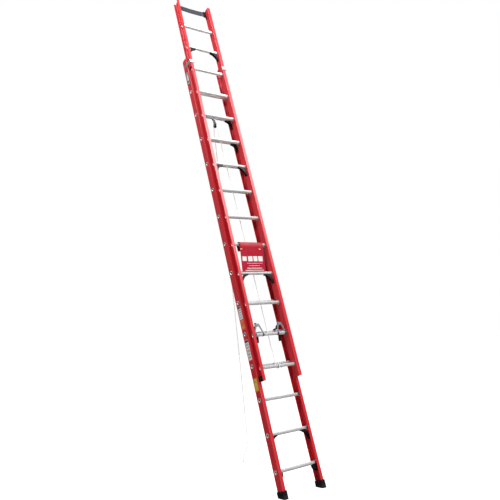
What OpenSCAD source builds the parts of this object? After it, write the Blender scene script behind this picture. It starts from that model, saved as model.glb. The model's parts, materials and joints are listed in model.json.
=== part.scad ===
// Two-section extension ladder, leaning at its working angle, with the fly section raised and locked.
// The origin is on the ground midway between the feet. +X runs along the rungs, +Y towards the wall, +Z up.
// The sections are drawn in the ladder's own frame, with Z up along the rails, and then leaned as a whole.

/* [Ladder] */
// Angle between the rails and the vertical, degrees
lean = 12.5; // [8:0.5:16]
// Distance from rung to rung
rung_pitch = 304.8; // [290:0.1:310]
// Rungs in each section
rung_count = 14; // [13:1:14]
// Rungs by which the fly section is raised
raised_rungs = 3; // [0:1:6]
// Width over the base section's rails
overall_w = 460; // [440:5:500]

/* [Rails] */
// Depth of a rail, front to back
rail_d = 82; // [80:1:84]
// Width of a rail's flanges, with the web
flange_w = 33; // [32:0.5:33]
// Wall of the fibreglass channel
wall_t = 4; // [3.5:0.5:4]
// Height of the lowest rung above the soles, along the rails
first_rung_z = 210; // [200:1:240]
// Base rail above its top rung
base_head = 434; // [400:1:440]
// Fly rail above its top rung
fly_head = 360; // [340:1:365]
// Fly rail below its lowest rung
fly_tail = 115; // [112:1:118]
// How far the fly's rungs lie in front of the base's rungs
fly_forward = 72; // [72:1:74]
// How far the fly's rungs hang below the base's rungs beside them
fly_drop = 35; // [32:1:36]
// Radius of the rails' rounded back corner at the top
head_r = 34; // [20:1:38]

/* [Rungs] */
// Half width of a rung's tread
tread_r = 19; // [18:0.5:19]
// Half height of a rung
rung_h2 = 14; // [13:0.5:14]
// Radius of the tube end that is expanded into the rail
rung_tube_r = 15; // [13:0.5:15]

/* [Feet] */
// Height of the boot on the rail
boot_h = 58; // [56:1:78]
// Rubber outside the rail
boot_wall = 6; // [4:0.5:7]

/* [Halyard] */
// Diameter of the rope
rope_d = 8; // [6:0.5:8]
// Radius of the sheave at the bottom of its groove
groove_r = 21; // [20:0.5:22]
// Base rung that carries the pulley
pulley_rung = 13; // [12:1:13]
// Sheave's centre below that rung
pulley_drop = 100; // [90:1:110]
// Sheave's centre to the side of the ladder's middle
pulley_x = -18; // [-60:1:0]

/* [Locks] */
// Fly rung that carries the locks
lock_rung = 2; // [2:1:3]
// Lock's middle, inboard of the fly rail
lock_inset = 60; // [60:1:80]

/* [Hidden] */
$fn = 48;
base_x = overall_w / 2;                 // outer face of the base webs
base_in = base_x - wall_t;              // inner face of the base webs
fly_out = base_x - 37;                  // outer face of the fly webs
fly_in = fly_out - wall_t;              // inner face of the fly webs
fly_y = -fly_forward;
flange_y = rail_d / 2;
rail_foot_z = 26;                       // cut end of the base rails, inside the boots
base_top_z = base_rung_z(rung_count) + base_head;
fly_foot_z = fly_rung_z(1) - fly_tail;
fly_top_z = fly_rung_z(rung_count) + fly_head;
base_braced = [2, 12, 13];
fly_braced = [4, 8, 13];
collar_t = 2.5;
bedded = 1;                             // depth by which the D tube is let into its collars
rivet_r = 3;
brace_w = 28;
brace_rivet_z = -84;                    // brace rivet below the rung's axis
bracket_rivet_z = -44;                  // bottom bracket's rivet below the rung's axis
rivet_tail_r = 5.5;
rivet_seat_r = rivet_tail_r + 0.5;      // spot face under a rivet's tail
brace_seat = 16.5;                      // spot faces inward of the web
bracket_seat = 52;
bracket_z = base_top_z - 100;           // upper guide brackets
bracket_h = 36;
bracket_t = 3;
bracket_front_y = fly_y - flange_y - 10;
bracket_bolts_y = [2, -20];
boot_bolts_y = [-18, 18];
boot_bolt_z = 48;
boot_in = base_x - flange_w - 9;        // inboard face of the boots
guide_h = 45;                           // plastic guides in the fly's foot
guide_bolt_z = fly_foot_z + 28;
strap_z = fly_top_z - 56;               // pole strap
strap_h = 70;
strap_y = fly_y + 24;
strap_t = 8;
rope_r = rope_d / 2;
wrap_r = groove_r + rope_r;             // rope's centre line round the sheave
sheave_r = groove_r + rope_d - 1;
sheave_w = rope_d + 5;
pulley_y = -6;
pulley_z = base_rung_z(pulley_rung) - pulley_drop;
cheek_t = 2;
cheek_gap = sheave_w / 2 + 0.6;
knot_x = 4;
knot_y = fly_y + 31;
knot_z = fly_rung_z(1) + 14;
knot_r = 12;
lock_x = fly_in - lock_inset;
lock_z = fly_rung_z(lock_rung);
lock_plate_y = fly_y + 18.6;            // back of the rung, where the lock's rear plate stands
lock_frame_y = fly_y - 13.5;            // front face of the lock's V frame over the rung
hook_pin_y = fly_y + 4;
hook_pin_z = 92;                        // above the lock's rung
tongue_pin_y = fly_y + 28;
tongue_pin_z = 8;
pin_r = 3;
hook_w = 22;
panel_w = 280;
panel_t = 5;
panel_rung = 5;
panel_x = 8;                            // panel's middle
panel_low_z = fly_rung_z(panel_rung) - 308;

RED = [0.78, 0.09, 0.1];
SILVER = [0.8, 0.81, 0.82];
STEEL = [0.68, 0.7, 0.72];
BLACK = [0.07, 0.07, 0.08];
PALE = [0.84, 0.83, 0.81];
LOCK_STEEL = [0.5, 0.51, 0.54];
ROPE = [0.9, 0.9, 0.87];

// World points of the halyard's free end below the sheave: [x, y past the sheave's rear side, z].
FREE_END = [
    [0, 0, 3450], [2, -5, 3150], [6, -13, 2850], [10, -21, 2550], [13, -28, 2250],
    [16, -33, 1950], [18, -37, 1650], [19, -39, 1350], [20, -40, 1050], [20, -40, 750],
    [20, -40, 550], [20, -40, 440], [19, -39, 380], [16, -37, 340], [9, -32, 305],
    [-2, -26, 275], [-14, -20, 248], [-24, -15, 220], [-30, -12, 190], [-33, -11, 165]
];

function base_rung_z(n) = first_rung_z + rung_pitch * (n - 1);
function fly_rung_z(n) = first_rung_z + rung_pitch * (n - 1 + raised_rungs) - fly_drop;
function two_digits(n) = str(n < 10 ? "0" : "", n);
function arc(cx, cy, r, a0, a1, n = 6) =
    [for (i = [0:n]) let (a = a0 + (a1 - a0) * i / n) [cx + r * cos(a), cy + r * sin(a)]];
function leaned(p) = [
    p[0],
    p[1] * cos(lean) + p[2] * sin(lean),
    -p[1] * sin(lean) + p[2] * cos(lean)
];

// ---- frames ----
module leaning() {
    rotate([-lean, 0, 0]) children();
}

module on_side(right) {
    mirror([right ? 1 : 0, 0, 0]) children();
}

module both_sides() {
    children();
    mirror([1, 0, 0]) children();
}

// Turns a cylinder or revolved shape so that its axis runs along +X.
module along_x() {
    rotate([0, 90, 0]) children();
}

// Extrudes a shape drawn in [y, z] along X, centred.
module slab_x(w) {
    translate([-w / 2, 0, 0]) rotate([90, 0, 90]) linear_extrude(w) children();
}

// Extrudes a shape drawn in [x, z] along Y, centred.
module slab_y(w) {
    translate([0, w / 2, 0]) rotate([90, 0, 0]) linear_extrude(w) children();
}

// ---- rails ----
// Channel section: the web lies on x = 0 and the flanges run towards +X.
module channel_section(grow = 0) {
    web_r = 6;
    root_r = 2.5;
    d = flange_y + grow;
    t = wall_t + grow;
    polygon(concat(
        [[flange_w + grow, -d]],
        arc(web_r, -d + web_r, web_r + grow, 270, 180),
        arc(web_r, d - web_r, web_r + grow, 180, 90),
        [[flange_w + grow, d], [flange_w + grow, d - t - grow]],
        arc(t + root_r, d - t - root_r - grow, root_r, 90, 180),
        arc(t + root_r, -d + t + root_r + grow, root_r, 180, 270),
        [[flange_w + grow, -d + t + grow]]
    ));
}

module rail(foot_z, top_z, rung_zs, small_holes) {
    difference() {
        translate([0, 0, foot_z]) linear_extrude(top_z - foot_z) channel_section();
        for (z = rung_zs) {
            translate([-1, 0, z]) along_x() cylinder(r = rung_tube_r, h = wall_t + 2);
        }
        for (p = small_holes) {
            translate([-1, p[0], p[1]]) along_x() cylinder(r = rivet_r + 0.1, h = wall_t + 2);
        }
        difference() {
            translate([-1, flange_y - head_r, top_z - head_r])
                cube([flange_w + 2, head_r + 1, head_r + 1]);
            translate([-2, flange_y - head_r, top_z - head_r])
                along_x() cylinder(r = head_r, h = flange_w + 4);
        }
    }
}

module base_rail(right) {
    brace_holes = [for (n = base_braced) [0, base_rung_z(n) + brace_rivet_z]];
    bracket_holes = [for (y = bracket_bolts_y) [y, bracket_z]];
    boot_holes = [for (y = boot_bolts_y) [y, boot_bolt_z]];
    foot_hole = [[0, base_rung_z(1) + bracket_rivet_z]];
    color(RED) leaning() on_side(right) translate([-base_x, 0, 0])
        rail(
            rail_foot_z, base_top_z,
            [for (n = [1:rung_count]) base_rung_z(n)],
            concat(brace_holes, bracket_holes, boot_holes, foot_hole)
        );
}

module fly_rail(right) {
    brace_holes = [for (n = fly_braced) [0, fly_rung_z(n) + brace_rivet_z]];
    color(RED) leaning() on_side(right) translate([-fly_in, fly_y, 0]) mirror([1, 0, 0])
        rail(
            fly_foot_z, fly_top_z,
            [for (n = [1:rung_count]) fly_rung_z(n)],
            concat(brace_holes, [[0, guide_bolt_z], [18, strap_z - 45]])
        );
}

// ---- rungs ----
// D section: a ribbed flat tread over a half-round belly.
module rung_section() {
    rib = 4;
    ribs = 8;
    belly_z = rung_h2 - 9;
    start = -rib * ribs / 2;
    polygon(concat(
        [[-tread_r, rung_h2 - 1]],
        [for (i = [0:ribs - 1]) each [
            [start + rib * i, rung_h2 - 1], [start + rib * i + 0.6, rung_h2],
            [start + rib * i + 2.6, rung_h2], [start + rib * i + 3.2, rung_h2 - 1]
        ]],
        [[tread_r, rung_h2 - 1]],
        arc(0, belly_z, tread_r, 0, -180, 20)
    ));
}

module rung_bore_section() {
    belly_z = rung_h2 - 9;
    r = tread_r - 2;
    polygon(concat([[-r, rung_h2 - 3], [r, rung_h2 - 3]], arc(0, belly_z, r, 0, -180, 20)));
}

module rung_envelope(w, gap = 0.15) {
    r = tread_r + gap;
    slab_x(w) polygon(concat(
        [[-r, rung_h2 + gap], [r, rung_h2 + gap]],
        arc(0, rung_h2 - 9, r, 0, -180, 20)
    ));
}

// One end: a collar inside the web, the tube through it and its mouth flared outside.
module rung_end() {
    bore_r = rung_tube_r - 4.5;
    shank_r = rung_tube_r - 0.1;
    along_x() rotate_extrude() polygon([
        [bore_r, -collar_t], [rung_tube_r + 6.5, -collar_t], [rung_tube_r + 6.5, 0],
        [shank_r, 0], [shank_r, wall_t], [rung_tube_r + 4, wall_t],
        [rung_tube_r + 4, wall_t + 1], [rung_tube_r + 1.8, wall_t + 2.4],
        [rung_tube_r, wall_t + 2.2], [bore_r, 1]
    ]);
}

module rung(half_w) {
    color(SILVER) {
        rotate([lean, 0, 0]) slab_x(2 * (half_w - collar_t + bedded)) difference() {
            rung_section();
            rung_bore_section();
        }
        translate([half_w, 0, 0]) rung_end();
        mirror([1, 0, 0]) translate([half_w, 0, 0]) rung_end();
    }
}

module base_rung(n) {
    leaning() translate([0, 0, base_rung_z(n)]) rung(base_in);
}

module fly_rung(n) {
    leaning() translate([0, fly_y, fly_rung_z(n)]) rung(fly_in);
}

// ---- braces and rivets ----
// Curved strut from the web up to a saddle under the rung, drawn in [inwards from the web, up].
module brace() {
    difference() {
        slab_y(brace_w) polygon([
            [0, -58], [0, -102], [5, -104], [12, -99], [17, -84], [30, -61], [50, -39],
            [70, -25], [92, -18], [94, -12], [92, -6], [52, -6], [46, -15], [34, -28],
            [18, -47], [7, -58]
        ]);
        rotate([lean, 0, 0]) rung_envelope(400);
        translate([-1, 0, brace_rivet_z]) along_x() cylinder(r = rivet_r + 0.1, h = 30);
        translate([brace_seat, 0, brace_rivet_z]) along_x() cylinder(r = rivet_seat_r, h = 30);
    }
}

module bottom_bracket() {
    difference() {
        slab_y(brace_w) polygon([
            [collar_t, -6], [0, -24], [0, -66], [4, -70], [20, -70], [44, -60], [58, -36],
            [60, -6]
        ]);
        rotate([lean, 0, 0]) rung_envelope(400);
        translate([-1, 0, 0]) along_x() cylinder(r = rung_tube_r + 6.6, h = collar_t + 1.1);
        translate([-1, 0, bracket_rivet_z]) along_x() cylinder(r = rivet_r + 0.1, h = 80);
        translate([bracket_seat, 0, bracket_rivet_z]) along_x() cylinder(r = rivet_seat_r, h = 30);
    }
}

module base_rung_braces() {
    color(BLACK) leaning() both_sides() {
        for (n = base_braced) {
            translate([-base_in, 0, base_rung_z(n)]) brace();
        }
        translate([-base_in, 0, base_rung_z(1)]) bottom_bracket();
    }
}

module fly_rung_braces() {
    color(BLACK) leaning() both_sides() {
        for (n = fly_braced) {
            translate([-fly_in, fly_y, fly_rung_z(n)]) brace();
        }
    }
}

// Domed rivet along +X: the outer head stands on x = 0 and the shank runs inwards.
module rivet(grip) {
    dome_r = 6;
    tail_r = rivet_tail_r;
    along_x() rotate_extrude() polygon([
        [0, -2.2], [2.5, -2], [4.6, -1.3], [dome_r, 0], [rivet_r, 0], [rivet_r, grip],
        [tail_r, grip], [tail_r - 1, grip + 1.6], [0, grip + 1.6]
    ]);
}

module base_rivets() {
    brace_grip = wall_t + brace_seat;
    color(STEEL) leaning() both_sides() {
        for (n = base_braced) {
            translate([-base_x, 0, base_rung_z(n) + brace_rivet_z]) rivet(brace_grip);
        }
        translate([-base_x, 0, base_rung_z(1) + bracket_rivet_z]) rivet(wall_t + bracket_seat);
        for (y = bracket_bolts_y) {
            translate([-base_x - bracket_t, y, bracket_z]) rivet(wall_t + bracket_t);
        }
        for (y = boot_bolts_y) {
            translate([-base_x - boot_wall, y, boot_bolt_z]) rivet(base_x + boot_wall - boot_in);
        }
    }
}

module fly_rivets() {
    color(STEEL) leaning() both_sides() {
        for (n = fly_braced) {
            translate([-fly_out, fly_y, fly_rung_z(n) + brace_rivet_z]) rivet(wall_t + brace_seat);
        }
        translate([-fly_out, fly_y + 18, strap_z - 45]) rivet(wall_t + 5);
        translate([-fly_out - 27, fly_y, guide_bolt_z]) rivet(27 + wall_t);
    }
}

// ---- feet ----
module boot_outline() {
    corner_r = 7;
    x0 = -base_x - boot_wall;
    x1 = -boot_in;
    y1 = flange_y + boot_wall + 1;
    polygon(concat(
        arc(x0 + corner_r, -y1 + corner_r, corner_r, 180, 270),
        arc(x1 - corner_r, -y1 + corner_r, corner_r, 270, 360),
        arc(x1 - corner_r, y1 - corner_r, corner_r, 0, 90),
        arc(x0 + corner_r, y1 - corner_r, corner_r, 90, 180)
    ));
}

// Rubber boot that takes the cut end of the rail, with its sole flat on the ground.
module foot_boot(right) {
    groove_w = 4;
    groove_pitch = 16;
    groove_deep = 3;
    color(BLACK) difference() {
        leaning() on_side(right) difference() {
            translate([0, 0, -30]) linear_extrude(boot_h + 30) boot_outline();
            translate([-base_x, 0, rail_foot_z]) linear_extrude(boot_h) channel_section(0.02);
            for (y = boot_bolts_y) {
                translate([-base_x - 20, y, boot_bolt_z])
                    along_x() cylinder(r = rivet_r + 0.1, h = 80);
            }
        }
        translate([-300, -150, -200]) cube([600, 300, 200]);
        for (i = [-2:2]) {
            translate([-300, i * groove_pitch + groove_pitch / 2 - groove_w / 2, -1])
                cube([600, groove_w, groove_deep + 1]);
        }
    }
}

// ---- upper guides of the base ----
module bracket_outline() {
    bend_r = 8;
    t = bracket_t;
    x0 = -base_x - t;
    y0 = bracket_front_y;
    polygon(concat(
        [[-base_x, 14], [x0, 14]],
        arc(x0 + bend_r, y0 + bend_r, bend_r, 180, 270),
        [[-fly_in + 1, y0], [-fly_in + 1, y0 + t]],
        arc(x0 + bend_r, y0 + bend_r, bend_r - t, 270, 180)
    ));
}

module guide_bracket(right) {
    color(SILVER) leaning() on_side(right) difference() {
        translate([0, 0, bracket_z - bracket_h / 2]) linear_extrude(bracket_h) bracket_outline();
        for (y = bracket_bolts_y) {
            translate([-base_x - 10, y, bracket_z]) along_x() cylinder(r = rivet_r + 0.1, h = 20);
        }
    }
}

// Plastic slippers between the brackets and the fly's front flanges, hooked over the brackets' ends.
module guide_pads() {
    pad_h = bracket_h + 6;
    front_y = bracket_front_y - 2;
    back_y = fly_y - flange_y - 0.8;
    color(PALE) leaning() both_sides() difference() {
        union() {
            translate([-fly_in - 28, bracket_front_y + bracket_t, bracket_z - pad_h / 2])
                cube([38, back_y - bracket_front_y - bracket_t, pad_h]);
            translate([-fly_in - 6, front_y, bracket_z - pad_h / 2])
                cube([16, back_y - front_y, pad_h]);
        }
        translate([0, 0, bracket_z - bracket_h / 2]) linear_extrude(bracket_h) bracket_outline();
    }
}

// ---- halyard and pulley ----
module at_sheave() {
    leaning() translate([pulley_x, pulley_y, pulley_z]) children();
}

// Strap closed round the rung, with two lugs below it.
module pulley_clamp() {
    lug_in = cheek_gap + cheek_t;
    strap_w = 2 * (lug_in + cheek_t) + 1;
    lug_low = -34;
    color(SILVER) leaning() translate([pulley_x, 0, base_rung_z(pulley_rung)]) difference() {
        union() {
            rotate([lean, 0, 0]) rung_envelope(strap_w, 2.6);
            for (s = [-1, 1]) {
                translate([s * (lug_in + cheek_t / 2), 0, 0]) slab_x(cheek_t)
                    polygon([[-15, -8], [-18, lug_low], [8, lug_low], [15, -8]]);
            }
        }
        rotate([lean, 0, 0]) rung_envelope(strap_w + 4);
        translate([-50, pulley_y, -27]) along_x() cylinder(r = rivet_r + 0.1, h = 100);
    }
}

// Two cheeks joined by a bridge above the sheave.
module pulley_block() {
    top_z = pulley_drop - 19;
    color(SILVER) at_sheave() difference() {
        union() {
            for (s = [-1, 1]) {
                translate([s * (cheek_gap + cheek_t / 2), 0, 0]) slab_x(cheek_t)
                    polygon(concat(arc(0, 0, 14, 180, 360, 12), [[9, top_z], [-9, top_z]]));
            }
            translate([-cheek_gap - 0.5, -8, sheave_r + 9]) cube([2 * cheek_gap + 1, 16, 3]);
        }
        translate([-50, 0, 0]) along_x() cylinder(r = pin_r + 0.02, h = 100);
        translate([-50, 0, pulley_drop - 27]) along_x() cylinder(r = rivet_r + 0.1, h = 100);
    }
}

module headed_pin(r, grip, head_r, head_t) {
    translate([-grip / 2, 0, 0]) along_x() cylinder(r = r, h = grip);
    for (s = [-1, 1]) {
        translate([s * (grip + head_t) / 2 - head_t / 2, 0, 0])
            along_x() cylinder(r = head_r, h = head_t);
    }
}

module pulley_axle() {
    color(STEEL) at_sheave() {
        headed_pin(pin_r, 2 * (cheek_gap + cheek_t), 6, 3);
        translate([0, 0, pulley_drop - 27])
            headed_pin(rivet_r, 2 * (cheek_gap + 2 * cheek_t), 5.5, 3);
    }
}

module pulley_sheave() {
    half_w = sheave_w / 2;
    run_r = rope_r + 0.4;
    color(BLACK) at_sheave() along_x() rotate_extrude() polygon(concat(
        [[pin_r + 0.07, -half_w], [sheave_r, -half_w]],
        arc(wrap_r, 0, run_r, 235, 125, 10),
        [[sheave_r, half_w], [pin_r + 0.07, half_w]]
    ));
}

// Tube of 8 sides through a list of points, with flat ends.
module rope_tube(pts) {
    sides = 8;
    n = len(pts);
    function unit(v) = v / norm(v);
    function heading(i) = unit(pts[min(i + 1, n - 1)] - pts[max(i - 1, 0)]);
    function across(i) = unit(cross(heading(i), [1, 0, 0]));
    rings = [for (i = [0:n - 1]) for (k = [0:sides - 1])
        let (a = 360 * k / sides, u = across(i), v = cross(heading(i), u))
        pts[i] + rope_r * (cos(a) * u + sin(a) * v)];
    walls = [for (i = [0:n - 2]) for (k = [0:sides - 1])
        let (a = i * sides + k, b = i * sides + (k + 1) % sides)
        [a, b, b + sides, a + sides]];
    caps = [[for (k = [sides - 1:-1:0]) k], [for (k = [0:sides - 1]) (n - 1) * sides + k]];
    polyhedron(points = rings, faces = concat(walls, caps));
}

// Over the sheave from its front, then straight down behind the ladder to the loose end.
module halyard_free() {
    centre = leaned([pulley_x, pulley_y, pulley_z]);
    over = [for (a = [180 - lean:-15:0]) centre + wrap_r * [0, cos(a), sin(a)]];
    down = [for (p = FREE_END) [centre[0] + p[0], centre[1] + wrap_r + p[1], p[2]]];
    color(ROPE) rope_tube(concat(over, down));
}

// Straight from the sheave's front down between the sections to the knot on the fly.
module halyard_fall() {
    top = leaned([pulley_x, pulley_y - wrap_r, pulley_z]);
    low = leaned([knot_x, knot_y, knot_z + knot_r]);
    spans = 12;
    color(ROPE) rope_tube([for (i = [0:spans]) top + (low - top) * i / spans]);
}

// Two turns round the fly's lowest rung and the knot behind it.
module halyard_knot() {
    turns_w = 2 * rope_d;
    color(ROPE) leaning() difference() {
        union() {
            translate([knot_x, fly_y, fly_rung_z(1)]) rotate([lean, 0, 0])
                rung_envelope(turns_w, rope_d);
            translate([knot_x, knot_y, knot_z]) sphere(r = knot_r);
        }
        translate([knot_x, fly_y, fly_rung_z(1)]) rotate([lean, 0, 0])
            rung_envelope(turns_w + 20, 0.2);
    }
}

// ---- fittings of the fly ----
// Plastic blocks in the foot of the fly's channels, in front of the base's flanges.
module fly_end_guides() {
    color(BLACK) leaning() both_sides() difference() {
        translate([-fly_out - 27, fly_y - flange_y + wall_t, fly_foot_z])
            cube([27, rail_d - wall_t - 12.5, guide_h]);
        translate([-fly_out - 40, fly_y, guide_bolt_z]) along_x() cylinder(r = rivet_r + 0.1, h = 60);
        translate([-fly_out, fly_y - flange_y + wall_t, fly_foot_z - 1]) mirror([1, 0, 0])
            difference() {
                cube([3, 3, guide_h + 2]);
                translate([2.5, 2.5, -1]) cylinder(r = 2.5, h = guide_h + 4);
            }
    }
}

// Flexible strap that rests against a pole or a corner.
module pole_strap() {
    half = fly_in - 12;
    color([0.2, 0.21, 0.26]) leaning()
        translate([-half, strap_y - strap_t / 2, strap_z - strap_h / 2])
            cube([2 * half, strap_t, strap_h]);
}

module strap_brackets() {
    grip = 3;
    clip_w = 34;
    plate_t = 5;
    color(BLACK) leaning() both_sides() difference() {
        union() {
            translate([-fly_in, strap_y - 12, strap_z - 66]) cube([plate_t, 22, 102]);
            translate([-fly_in, strap_y - strap_t / 2 - grip, strap_z - strap_h / 2 - grip])
                cube([clip_w, strap_t + 2 * grip, strap_h + 2 * grip]);
        }
        translate([-fly_in + 12, strap_y - strap_t / 2, strap_z - strap_h / 2])
            cube([clip_w, strap_t, strap_h]);
        translate([-fly_in - 1, fly_y + 18, strap_z - 45])
            along_x() cylinder(r = rivet_r + 0.1, h = 20);
    }
}

// Vinyl panel folded over a rung: a short flap behind, and the long sheet from its front to behind
// the rung below.
module sign_panel() {
    back_y = 25;
    front_y = -31;
    top_z = 23.5;
    flap_z = -64;
    low_z = panel_low_z - fly_rung_z(panel_rung);
    t = panel_t;
    color([0.7, 0.12, 0.2]) leaning() translate([panel_x, fly_y, fly_rung_z(panel_rung)])
        slab_x(panel_w) polygon([
            [back_y, flap_z], [back_y, top_z], [front_y, top_z], [front_y, -25],
            [back_y - t, low_z + 38], [back_y - t, low_z], [back_y, low_z],
            [back_y, low_z + 39], [front_y + t, -24], [front_y + t, top_z - t],
            [back_y - t, top_z - t], [back_y - t, flap_z]
        ]);
}

// ---- rung locks ----
module at_lock(right) {
    leaning() on_side(right) translate([-lock_x, 0, lock_z]) children();
}

// Two straps round the rung, a V frame standing over it, a plate behind it and ears for the pins.
module lock_housing(right) {
    foot_half = 50;
    strap_w = 14;
    plate_t = 3;
    ear_t = 3;
    ear_x = hook_w / 2 + 0.4;
    color(LOCK_STEEL) at_lock(right) difference() {
        union() {
            for (s = [-1, 1]) {
                translate([s * (foot_half - strap_w / 2), fly_y, 0]) rotate([lean, 0, 0])
                    rung_envelope(strap_w, 2.4);
                translate([s * (ear_x + ear_t / 2), 0, 0]) slab_x(ear_t) polygon([
                    [lock_frame_y, 76], [hook_pin_y - 3, 80], [hook_pin_y + 8, 86],
                    [hook_pin_y + 8, 98], [hook_pin_y, 102], [lock_frame_y, 102]
                ]);
                translate([s * (ear_x + ear_t / 2), 0, 0]) slab_x(ear_t) polygon([
                    [lock_plate_y, -10], [tongue_pin_y + 2, -8], [tongue_pin_y + 7, 2],
                    [tongue_pin_y + 7, 14], [lock_plate_y, 20]
                ]);
            }
            translate([0, lock_plate_y + plate_t / 2, 0]) slab_y(plate_t) polygon([
                [-foot_half, -10], [foot_half, -10], [foot_half, 10], [24, 20], [-24, 20],
                [-foot_half, 10]
            ]);
            translate([0, lock_frame_y + plate_t / 2, 0]) difference() {
                slab_y(plate_t) polygon([
                    [-foot_half, 4], [foot_half, 4], [foot_half, 24], [20, 104], [-20, 104],
                    [-foot_half, 24]
                ]);
                slab_y(plate_t + 2) polygon([[-37, 25], [37, 25], [13, 76], [-13, 76]]);
            }
        }
        translate([0, fly_y, 0]) rotate([lean, 0, 0]) rung_envelope(400);
        translate([-40, hook_pin_y, hook_pin_z]) along_x() cylinder(r = pin_r + 0.02, h = 80);
        translate([-40, tongue_pin_y, tongue_pin_z]) along_x() cylinder(r = pin_r + 0.02, h = 80);
    }
}

module lock_pins() {
    pin_grip = hook_w + 0.8 + 6;
    color(STEEL) {
        for (right = [false, true]) {
            at_lock(right) {
                translate([0, hook_pin_y, hook_pin_z]) headed_pin(pin_r, pin_grip, 5, 2);
                translate([0, tongue_pin_y, tongue_pin_z]) headed_pin(pin_r, pin_grip, 5, 2);
            }
        }
    }
}

// Coils of the return spring, wound on the hook's pin between the hook and one ear.
module lock_springs() {
    wire_r = 0.6;
    coils = 3;
    color(STEEL) {
        for (right = [false, true]) {
            at_lock(right) translate([hook_w / 2 - 2.9, hook_pin_y, hook_pin_z]) along_x() union() {
                for (i = [0:coils - 1]) {
                    translate([0, 0, i * wire_r * 1.7]) rotate_extrude()
                        translate([pin_r + wire_r + 0.4, 0]) circle(r = wire_r, $fn = 16);
                }
            }
        }
    }
}

// Hook from its pin back over the base rung, with a lead-in horn above.
module lock_hook(right) {
    lip_y = 23.2;
    bar_low = fly_drop + 18.8;
    bar_top = bar_low + 12.6;
    body_w = hook_w - 4;
    color(BLACK) at_lock(right) difference() {
        translate([-2, 0, 0]) slab_x(body_w) polygon(concat(
            arc(hook_pin_y, hook_pin_z, 9, 215, 90, 8),
            [
                [hook_pin_y + 2, 112], [hook_pin_y + 9, 120], [hook_pin_y + 12, 112],
                [hook_pin_y + 11, 92], [-23, 82], [-18, bar_top], [lip_y + 3, bar_top],
                [lip_y + 7, bar_top - 5], [lip_y + 7, 34], [lip_y + 3, 28], [lip_y, 32],
                [lip_y, bar_low], [-24, bar_low], [-30, 66]
            ]
        ));
        translate([-40, hook_pin_y, hook_pin_z]) along_x() cylinder(r = pin_r + 0.07, h = 80);
    }
}

// Loose flap that hangs behind the rung and bars the hook while the fly is lowered.
module lock_tongue(right) {
    tongue_l = 76;
    heel_r = 6;
    color(BLACK) at_lock(right) difference() {
        translate([0, tongue_pin_y, tongue_pin_z]) rotate([lean, 0, 0])
            slab_x(hook_w) polygon(concat(
                arc(0, 0, heel_r, 180, 0, 8),
                [
                    [4.5, -16], [5.5, -42], [4, -66], [1, -tongue_l], [-3, -tongue_l],
                    [-6, -66], [-7, -42], [-4.5, -16]
                ]
            ));
        translate([-40, tongue_pin_y, tongue_pin_z]) along_x() cylinder(r = pin_r + 0.07, h = 80);
    }
}

base_rail(false);  // base_rail_left
base_rail(true);  // base_rail_right
for (n = [1:rung_count]) {
    base_rung(n);
    fly_rung(n);
}
base_rung_braces();
base_rivets();
foot_boot(false);  // foot_boot_left
foot_boot(true);  // foot_boot_right
guide_bracket(false);  // guide_bracket_left
guide_bracket(true);  // guide_bracket_right
guide_pads();
pulley_clamp();
pulley_block();
pulley_axle();
pulley_sheave();
halyard_free();
halyard_fall();
halyard_knot();
fly_rail(false);  // fly_rail_left
fly_rail(true);  // fly_rail_right
fly_rung_braces();
fly_rivets();
fly_end_guides();
pole_strap();
strap_brackets();
sign_panel();
lock_housing(false);  // lock_housing_left
lock_housing(true);  // lock_housing_right
lock_pins();
lock_springs();
lock_hook(false);  // lock_hook_left
lock_hook(true);  // lock_hook_right
lock_tongue(false);  // lock_tongue_left
lock_tongue(true);  // lock_tongue_right
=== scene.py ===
"""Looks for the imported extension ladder: camera, ropes, soft pieces, materials, light, floor."""

import json
import math

import bmesh
import bpy
import numpy as np
from mathutils import Matrix, Vector

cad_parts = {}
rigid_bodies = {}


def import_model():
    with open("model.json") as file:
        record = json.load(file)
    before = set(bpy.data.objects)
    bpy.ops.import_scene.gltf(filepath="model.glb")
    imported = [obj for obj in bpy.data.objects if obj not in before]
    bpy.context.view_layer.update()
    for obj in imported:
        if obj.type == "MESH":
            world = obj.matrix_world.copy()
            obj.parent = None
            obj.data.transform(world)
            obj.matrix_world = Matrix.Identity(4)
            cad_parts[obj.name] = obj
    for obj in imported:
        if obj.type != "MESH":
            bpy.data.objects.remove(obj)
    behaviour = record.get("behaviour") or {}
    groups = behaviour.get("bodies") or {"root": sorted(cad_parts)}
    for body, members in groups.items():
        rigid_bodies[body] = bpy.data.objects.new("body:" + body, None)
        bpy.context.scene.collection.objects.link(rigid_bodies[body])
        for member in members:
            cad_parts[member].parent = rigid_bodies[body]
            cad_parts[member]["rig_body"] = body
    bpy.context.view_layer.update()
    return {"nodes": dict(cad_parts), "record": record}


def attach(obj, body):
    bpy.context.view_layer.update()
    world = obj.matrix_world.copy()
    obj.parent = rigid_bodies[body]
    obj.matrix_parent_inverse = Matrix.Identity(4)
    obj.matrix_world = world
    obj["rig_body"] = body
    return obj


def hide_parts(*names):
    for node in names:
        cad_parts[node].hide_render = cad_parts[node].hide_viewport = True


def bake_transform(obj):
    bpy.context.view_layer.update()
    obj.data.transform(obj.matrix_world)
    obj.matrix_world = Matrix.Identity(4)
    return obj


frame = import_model()
nodes = frame["nodes"]
scene = bpy.context.scene

# ---- the ladder's own frame: millimetres, Z up along the rails ----
MM = 0.001
LEAN = math.radians(12.5)
PITCH = 304.8
FIRST_RUNG = 210.0
FLY_Y = -72.0
FLY_DROP = 35.0
RAISED = 3
ROPE_R = 4.0
WRAP_R = 25.0
KNOT_X = 4.0
PULLEY_RUNG = 13
PULLEY_DROP = 100.0


def base_rung_z(n):
    return FIRST_RUNG + PITCH * (n - 1)


PULLEY = (-18.0, -6.0, base_rung_z(PULLEY_RUNG) - PULLEY_DROP)


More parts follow.
